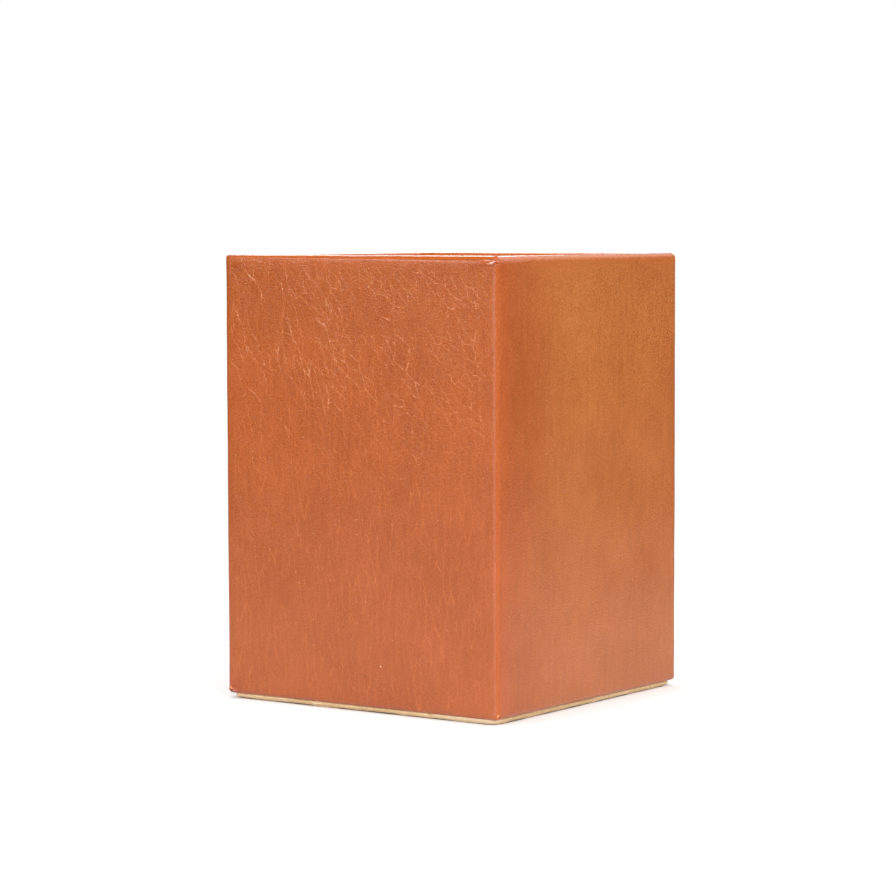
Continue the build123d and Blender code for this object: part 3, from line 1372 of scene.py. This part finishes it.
    def strip_place(self, place: Vector) -> tuple[float, float]:
        """Where a point of the wrap lies on the flat strip.

        Args:
            place: The point on the wrap.

        Returns:
            Metres along the strip from the middle of the front, and metres up it.
        """
        core = self.high.x - self.upright_radius
        run = 2 * core + QUARTER_TURN * self.upright_radius
        if min(abs(place.x), abs(place.y)) > core:
            offset_x = place.x - math.copysign(core, place.x)
            offset_y = place.y - math.copysign(core, place.y)
            turn = math.atan2(offset_x, -offset_y) % (2 * math.pi)
            side = int(turn / QUARTER_TURN)
            along = side * run + core + self.upright_radius * (turn - side * QUARTER_TURN)
        else:
            outwards = [way.value[0] * place.x + way.value[1] * place.y for way in Side]
            side = outwards.index(max(outwards))
            along = side * run + (place.x, place.y, -place.x, -place.y)[side]
        if along > 2 * run + self.high.x - self.seam_from_side:
            along -= 4 * run
        inwards = self.depth_in(place)
        if inwards > self.high.x - self.mouth - self.rim_inner_radius and place.z > self.high.z / 2:
            return along, 2 * self.high.z - place.z + inwards
        return along, place.z + (inwards if place.z > self.high.z / 2 else -inwards)

    def roll_share(self, along: float) -> float:
        """Says how far the rim's roll opens.

        Args:
            along: The place along the strip, in metres.

        Returns:
            The share of its full radius.
        """
        for (start, first), (end, last) in zip(self.tightness, self.tightness[1:]):
            if along <= end:
                share = max(0.0, (along - start) / (end - start))
                return first + (last - first) * share * share * (3 - 2 * share)
        return self.tightness[-1][1]

    def tighten_rim(self, piece: bpy.types.Object) -> None:
        """Draws the leather tighter over the rim where the roll is narrower.

        Args:
            piece: The wrap, in object mode.
        """
        core = self.high.x - self.upright_radius
        for vertex in piece.data.vertices:
            place = vertex.co
            depth, below = self.depth_in(place), self.high.z - place.z
            if max(depth, below) > self.rim_outer_radius + TINY:
                continue
            kept = self.roll_share(self.strip_place(place)[0])
            beyond = Vector((abs(place.x) - core, abs(place.y) - core, 0))
            if min(beyond.xy) > 0:
                out = beyond.normalized()
            else:
                out = Vector((1, 0, 0)) if beyond.x > beyond.y else Vector((0, 1, 0))
            out = Vector((math.copysign(out.x, place.x), math.copysign(out.y, place.y), 0))
            vertex.co = place + out * depth * (1 - kept) + Vector((0, 0, below * (1 - kept)))

    def lay_out_strip(self, piece: bpy.types.Object) -> None:
        """Lays the wrap out flat as the strip it was cut from, in metres, for its grain.

        Args:
            piece: The wrap, in object mode.
        """
        mesh = piece.data
        flat = mesh.uv_layers.new(name="strip")
        for polygon in mesh.polygons:
            for corner in polygon.loop_indices:
                vertex = mesh.vertices[mesh.loops[corner].vertex_index]
                # A hair inside the face, a corner by the seam falls on its own end of the strip
                flat.data[corner].uv = self.strip_place(vertex.co.lerp(polygon.center, self.hair))

    def mark_wear(self, piece: bpy.types.Object) -> None:
        """Marks how far the surface is rubbed: along the upright edges, the rim and the heel.

        Args:
            piece: The wrap, in object mode.
        """
        wear = piece.data.attributes.new("wear", "FLOAT", "POINT")
        rim_wear, rim_reach = self.rim_wear
        heel_wear, heel_reach = self.heel_wear
        core = self.high.x - self.upright_radius
        for vertex in piece.data.vertices:
            place = vertex.co
            beyond = (abs(place.x) - core, abs(place.y) - core)
            if place.x * place.y > 0:
                beyond = beyond[::-1]
            turned = math.degrees(math.atan2(*beyond))
            on_edge = 1 - abs(turned - self.worn_bearing) / self.worn_spread if min(beyond) > 0 else 0.0
            on_rim = rim_wear - (self.high.z - place.z) / rim_reach
            on_heel = heel_wear * (1 - (place.z - self.low.z) / heel_reach)
            wear.data[vertex.index].value = max(on_edge, on_rim, on_heel, 0.0)

    def weigh_thickness(self, piece: bpy.types.Object) -> None:
        """Sets the leather's thickness: full on the walls, pared towards the flaps.

        Args:
            piece: The wrap, in object mode.
        """
        group = piece.vertex_groups.new(name="thickness")
        for vertex in piece.data.vertices:
            pared = self.rim_share if vertex.co.z > 0.5 * self.high.z else self.heel_share
            share = min(1.0, max(0.0, self.depth_in(vertex.co)) / (self.high.x - self.mouth))
            group.add([vertex.index], 1 + (pared - 1) * share, "REPLACE")

    def corner(self, sign_x: int, sign_y: int, level: float, roll: float) -> Callable[[float, float], Vector]:
        """Finds places on the rounded upright edge at one corner.

        Args:
            sign_x: The corner's side along X.
            sign_y: The corner's side along Y.
            level: The height of the edge's end, which places are counted from.
            roll: The radius that the leather is rolled over to at that end.

        Returns:
            A function of the millimetres to the right, seen from outside, and the millimetres up.
        """
        out = Vector((sign_x, sign_y, 0)).normalized()
        right = Vector((-out.y, out.x, 0))
        core = Vector((sign_x, sign_y, 0)) * (self.high.x - self.upright_radius)

        def at(aside: float, up: float) -> Vector:
            """Finds one place.

            Args:
                aside: Millimetres to the right, seen from outside.
                up: Millimetres up from the edge's end.

            Returns:
                The place.
            """
            turn = max(-QUARTER_TURN / 2, min(QUARTER_TURN / 2, aside * MM / self.upright_radius))
            rest = aside * MM - turn * self.upright_radius
            normal = math.cos(turn) * out + math.sin(turn) * right
            tangent = math.cos(turn) * right - math.sin(turn) * out
            onto_roll = max(0.0, 1 - abs(up) * MM / roll)
            inset = roll * (1 - math.sqrt(1 - onto_roll * onto_roll))
            return (core + (self.upright_radius - inset) * normal + rest * tangent
                    + Vector((0, 0, level + up * MM)))

        return at

    def strokes(self) -> list[Stroke]:
        """Lists the folds at the corners of the rim and the heel.

        Returns:
            The strokes that make them.
        """
        found = []
        for sign_x, sign_y, size in self.fold_sizes:
            at_rim = self.corner(sign_x, sign_y, self.high.z, self.rim_outer_radius)
            found += [fold.stroke(at_rim, size) for fold in self.rim_folds]
            at_heel = self.corner(sign_x, sign_y, self.low.z, self.heel_radius)
            found += [fold.stroke(at_heel) for fold in self.heel_folds]
        return found

    def flat_cut(self) -> tuple[float, float, float]:
        """Measures the strip before it was wrapped, its corners cut out.

        Returns:
            Its width, its length and its area.
        """
        core = self.high.x - self.upright_radius
        length = 8 * core + 2 * math.pi * self.upright_radius
        rim = self.high.x - self.mouth
        width = self.high.z - self.low.z + rim + self.flap_depth + self.heel_flap
        lost = 4 * rim * (rim + 2 * self.flap_depth) + 4 * self.heel_flap * self.heel_flap
        return width, length, width * length - lost

    def dress(self, piece: bpy.types.Object) -> None:
        """Gives the wrap its finish and its place among the model's pieces.

        Args:
            piece: The wrap, in object mode.
        """
        piece.data.materials.append(SmoothLeather(self.high.x, self.high.z).make())
        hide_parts("leather_wrap")
        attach(piece, "root")
        width, length, area = self.flat_cut()


@dataclass
class SuedeCover:
    """Suede drawn over a lining card's face and lapped round its back, which stays open inside the lap.

    Attributes:
        name: The piece of the model that it takes the place of.
        facing: The way that its face looks.
        lap: How far it is lapped round the back.
        edge_radius: Radius of its edges.
        arc_steps: Faces across each rounded edge.
        skin: Thickness of the suede.
        weave: Widest face.
        swell: The width and height of its swells.
    """

    name: str
    facing: Vector
    lap: float = 8.0 * MM
    edge_radius: float = 0.3 * MM
    arc_steps: int = 3
    skin: float = 0.4 * MM
    weave: float = 2.5 * MM
    swell: Range = (9 * MM, 0.08 * MM)

    def build(self) -> bpy.types.Object:
        """Models the cover.

        Returns:
            The cover, in object mode.
        """
        low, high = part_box(self.name)
        piece = new_block(self.name.replace("lining_suede", "suede"), low, high)
        pick_faces(piece, lambda face: face.normal.dot(self.facing) < -FACING)
        bpy.ops.mesh.inset(thickness=self.lap)
        bpy.ops.mesh.delete(type="ONLY_FACE")
        bpy.ops.object.mode_set(mode="OBJECT")
        back = min(low.dot(self.facing), high.dot(self.facing))

        def radius(middle: Vector, along: Vector) -> float:
            """The radius of an edge, or nought for one at the open back."""
            return self.edge_radius if middle.dot(self.facing) > back + TINY else 0.0

        round_edges(piece, radius, self.arc_steps)
        bpy.ops.object.mode_set(mode="EDIT")
        for axis in range(3):
            divide_along(piece, axis, self.weave)
        bpy.ops.object.mode_set(mode="OBJECT")
        undulate(piece, *self.swell)
        apply_modifier(piece, "SOLIDIFY", thickness=self.skin, offset=-1.0)
        smooth(piece)
        return piece

    def flat_cut(self) -> tuple[float, float, float]:
        """Measures the suede before it was lapped, its corners cut out.

        Returns:
            Its width, its length and its area.
        """
        low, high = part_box(self.name)
        thin, width, length = sorted(high - low)
        turn = thin + self.lap
        width += 2 * turn
        length += 2 * turn
        return width, length, width * length - 4 * turn * turn

    def dress(self, piece: bpy.types.Object, finish: bpy.types.Material) -> None:
        """Gives the cover its finish and its place among the model's pieces.

        Args:
            piece: The cover, in object mode.
            finish: The suede.
        """
        piece.data.materials.append(finish)
        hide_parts(self.name)
        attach(piece, "root")
        width, length, area = self.flat_cut()


@dataclass
class BasePad:
    """The raw-edged leather pad under the heel, its lower edge pared back at a slant.

    Attributes:
        corner_radius: Radius of its four corners.
        arc_steps: Faces round each corner.
        pared_edge: How far up and in the slant goes.
        corner_pared: How much further in it goes at the corners.
        corner_reach: How far past a corner's rounding that holds.
        weave: Widest face.
        tear: The width and height of the waves that the knife left in the edge.
        crisp: The angle, in degrees, over which an edge is shaded sharp.
    """

    corner_radius: float = 2.2 * MM
    arc_steps: int = 6
    pared_edge: float = 0.7 * MM
    corner_pared: float = 0.35 * MM
    corner_reach: float = 0.5 * MM
    weave: float = 1.0 * MM
    tear: Range = (2 * MM, 0.3 * MM)
    crisp: float = 35.0

    def build(self) -> bpy.types.Object:
        """Models the pad.

        Returns:
            The pad, in object mode.
        """
        low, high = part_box("base_pad")
        pared = low + Vector((0, 0, self.pared_edge))
        piece = new_block("pad", pared, high)
        bpy.ops.object.mode_set(mode="OBJECT")
        round_edges(piece, self.edge_radius, self.arc_steps)
        bpy.ops.object.mode_set(mode="EDIT")
        pick_faces(piece, lambda face: face.normal.z < -FACING)
        bpy.ops.mesh.inset(thickness=self.pared_edge, depth=self.pared_edge)
        divide_along(piece, 0, self.weave)
        divide_along(piece, 1, self.weave)
        bpy.ops.object.mode_set(mode="OBJECT")
        corner = high.x - self.corner_radius - self.corner_reach
        ragged = piece.vertex_groups.new(name="ragged")
        for vertex in piece.data.vertices:
            place = vertex.co
            if place.z < low.z + TINY and min(abs(place.x), abs(place.y)) > corner:
                place.xy *= 1 - self.corner_pared / high.x
            if low.z + TINY < place.z < high.z - TINY:
                ragged.add([vertex.index], 1.0, "REPLACE")
        undulate(piece, *self.tear, ragged.name)
        smooth(piece, self.crisp)
        return piece

    def edge_radius(self, middle: Vector, along: Vector) -> float:
        """The radius that an edge of the pad is rounded to: only its upright ones are."""
        return self.corner_radius if along.z > FACING else 0.0

    def dress(self, piece: bpy.types.Object) -> None:
        """Gives the pad its finish and its place among the model's pieces.

        Args:
            piece: The pad, in object mode.
        """
        piece.data.materials.append(RawLeather().make())
        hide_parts("base_pad")
        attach(piece, "root")


@dataclass
class Carcass:
    """The boards and cards inside the leather, which keep the model's shapes.

    Attributes:
        board: Finish of the boards.
        card: Finish of the cards.
    """

    board: PressedBoard = PressedBoard(
        "fibreboard", light=(0.420, 0.300, 0.185), dark=(0.300, 0.205, 0.120), fleck=0.8 * MM)
    card: PressedBoard = PressedBoard(
        "lining_card", light=(0.500, 0.440, 0.360), dark=(0.390, 0.335, 0.265), fleck=0.6 * MM)

    def dress(self) -> None:
        """Gives each board and card its finish."""
        board = self.board.make()
        card = self.card.make()
        for name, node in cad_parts.items():
            if name.endswith(("board", "card")):
                for slot in node.material_slots:
                    slot.material = board if name.endswith("board") else card
                log.info("%s: %s", name, node.material_slots[0].material.name)


# The studio


@dataclass(frozen=True)
class Softbox:
    """A square soft light aimed at the holder.

    Attributes:
        name: Its name.
        bearing: Where it stands, in degrees from in front towards the right.
        height: Its height above the horizon, in degrees.
        distance: How far off it is, in metres.
        size: The length of its side, in metres.
        power: Its power, in watts.
        mirrored: Whether it shows in the leather's gloss.
        lighting: Whether it lights the leather's colour.
    """

    name: str
    bearing: float
    height: float
    distance: float
    size: float
    power: float
    mirrored: bool = True
    lighting: bool = True

    def place(self, target: Vector) -> None:
        """Adds the light.

        Args:
            target: The point that it is aimed at.
        """
        bearing, height = math.radians(self.bearing), math.radians(self.height)
        level = math.cos(height)
        way = Vector((math.sin(bearing) * level, -math.cos(bearing) * level, math.sin(height)))
        light = bpy.data.lights.new(self.name, "AREA")
        light.shape = "SQUARE"
        light.size = self.size
        light.energy = self.power
        lamp = bpy.data.objects.new(self.name, light)
        bpy.context.scene.collection.objects.link(lamp)
        lamp.location = target + way * self.distance
        lamp.rotation_euler = (-way).to_track_quat("-Z", "Y").to_euler()
        lamp.visible_camera = False
        lamp.visible_glossy = self.mirrored
        lamp.visible_diffuse = self.lighting


@dataclass(frozen=True)
class Viewpoint:
    """The photograph's camera.

    Attributes:
        bearing: Where it looks from, in degrees from in front towards the right.
        tilt: How far down it looks, in degrees.
        roll: How far it leans, in degrees.
        place: Where it stands.
        lens: Its focal length, in millimetres.
    """

    bearing: float = 35.127
    tilt: float = 4.068
    roll: float = -0.143
    place: Vector = Vector((436.59, -623.11, 114.48)) * MM
    lens: float = 124.50

    def set_up(self) -> None:
        """Adds the camera and makes it the scene's."""
        camera = bpy.data.cameras.new("camera")
        camera.lens = self.lens
        camera.sensor_width = 36.0
        camera.clip_start = 0.05
        camera.clip_end = 50.0
        eye = bpy.data.objects.new("camera", camera)
        bpy.context.scene.collection.objects.link(eye)
        eye.matrix_world = (
            Matrix.Translation(self.place)
            @ Matrix.Rotation(math.radians(self.bearing), 4, "Z")
            @ Matrix.Rotation(math.radians(90 - self.tilt), 4, "X")
            @ Matrix.Rotation(math.radians(self.roll), 4, "Z")
        )
        bpy.context.scene.camera = eye


@dataclass
class Studio:
    """A white table, a white background and soft lights to the sides, above and behind.

    Attributes:
        table_radius: Radius of the round table top.
        table_white: Its colour.
        surround: Strength of the light from all round.
        overexposure: How much brighter the camera sees the table than it is lit, away from the holder.
        contact: How far from the middle of the holder that begins; nearer in, the table is left darker, a
            painted shadow.
        shadow_fades: How far it takes to come in full, on the front, the right, the back and the left, which
            sets how far the painted shadow reaches.
        aim: The point that the lights are aimed at.
        softboxes: The lights.
    """

    table_radius: float = 0.26
    table_white: Colour = (0.86, 0.86, 0.86)
    surround: float = 0.06
    overexposure: float = 0.24
    contact: float = 38.5 * MM
    shadow_fades: tuple[float, float, float, float] = (5 * MM, 22 * MM, 3 * MM, 3 * MM)
    aim: Vector = Vector((0, 0, 0.054))
    softboxes: tuple[Softbox, ...] = (
        Softbox("key_light", bearing=-27.0, height=24.0, distance=0.8, size=0.11, power=2.4),
        Softbox("left_light", bearing=24.0, height=22.0, distance=0.8, size=0.40, power=3.1),
        Softbox("edge_light", bearing=30.0, height=3.0, distance=0.8, size=0.10, power=0.60, lighting=False),
        Softbox("left_fill", bearing=-30.0, height=42.0, distance=0.8, size=0.30, power=1.3, mirrored=False),
        Softbox("front_light", bearing=70.0, height=25.0, distance=0.8, size=0.50, power=3.4, mirrored=False),
        Softbox("right_light", bearing=120.0, height=38.0, distance=0.8, size=0.50, power=3.5),
        Softbox("top_light", bearing=0.0, height=90.0, distance=1.2, size=0.70, power=6.5, mirrored=False),
        Softbox("rear_light", bearing=217.0, height=28.0, distance=0.9, size=0.32, power=2.4, lighting=False),
        Softbox("rear_fill", bearing=176.0, height=44.0, distance=0.9, size=0.60, power=1.5, lighting=False),
    )

    def build(self) -> None:
        """Sets up the table, the surroundings, the lights and the camera."""
        self.lay_table()
        self.light_surroundings()
        for softbox in self.softboxes:
            softbox.place(self.aim)
        Viewpoint().set_up()
        bpy.context.scene.view_settings.view_transform = "Standard"
        bpy.context.scene.view_settings.look = "None"

    def lay_table(self) -> None:
        """Lays the table top under the holder."""
        deselect_all()
        bpy.ops.mesh.primitive_circle_add(radius=self.table_radius, vertices=96, fill_type="NGON")
        table = bpy.context.object
        table.name = "table"
        finish = Finish("table_white")
        graph = finish.graph
        seen = graph.add("ShaderNodeLightPath").outputs["Is Camera Ray"]
        place = graph.place()
        # Painted shadow: the camera's extra brightness is held back near the holder, furthest on the right,
        # which leaves the table darker there
        clear = 0.0
        for side, fade in zip(Side, self.shadow_fades):
            away = graph.total(graph.product(graph.axis(place, "X"), side.value[0]),
                               graph.product(graph.axis(place, "Y"), side.value[1]))
            clear = graph.math("MAXIMUM", clear, graph.remap(away, self.contact, self.contact + fade))
        glow = graph.product(seen, clear, self.overexposure)
        table.data.materials.append(finish.set(
            base_color=self.table_white, roughness=0.9, specular_ior_level=0.2,
            emission_color=(1.0, 1.0, 1.0), emission_strength=glow))

    def light_surroundings(self) -> None:
        """Fills the surroundings: dim light all round, seen as plain white."""
        world = bpy.data.worlds.new("surroundings")
        world.use_nodes = True
        bpy.context.scene.world = world
        graph = Graph(world.node_tree)
        lit = graph.add("ShaderNodeBackground", {"Color": (1.0, 1.0, 1.0, 1.0), "Strength": self.surround})
        seen = graph.add("ShaderNodeBackground", {"Color": (1.0, 1.0, 1.0, 1.0), "Strength": 1.0})
        mixed = graph.add("ShaderNodeMixShader", {
            0: graph.add("ShaderNodeLightPath").outputs["Is Camera Ray"],
            1: lit.outputs[0],
            2: seen.outputs[0],
        })
        graph.links.new(mixed.outputs[0], graph.nodes["World Output"].inputs["Surface"])


def report(piece: bpy.types.Object) -> None:
    """Logs a piece with its size.

    Args:
        piece: The piece.
    """
    piece.data.calc_loop_triangles()
    log.info("%s: %d triangles, %.1f x %.1f x %.1f mm", piece.name, len(piece.data.loop_triangles),
             *(side / MM for side in piece.dimensions))


def main() -> None:
    """Sets up the studio, builds each part of the holder and reports each piece."""
    logging.basicConfig(level=logging.INFO, format="%(name)s: %(message)s")
    Studio().build()

    low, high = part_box("leather_wrap")
    wrap = LeatherWrap(low, high, mouth=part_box("front_lining_suede")[1].x + PANEL_CLEARANCE)
    piece = wrap.build()
    wrap.dress(piece)
    report(piece)

    suede = Suede().make()
    facings = {f"{side.name.lower()}_lining_suede": -Vector((*side.value, 0)) for side in Side}
    facings["floor_lining_suede"] = Vector((0, 0, 1))
    for name, facing in facings.items():
        cover = SuedeCover(name, facing)
        piece = cover.build()
        cover.dress(piece, suede)
        report(piece)

    pad = BasePad()
    piece = pad.build()
    pad.dress(piece)
    report(piece)

    Carcass().dress()


if __name__ == "__main__":
    main()
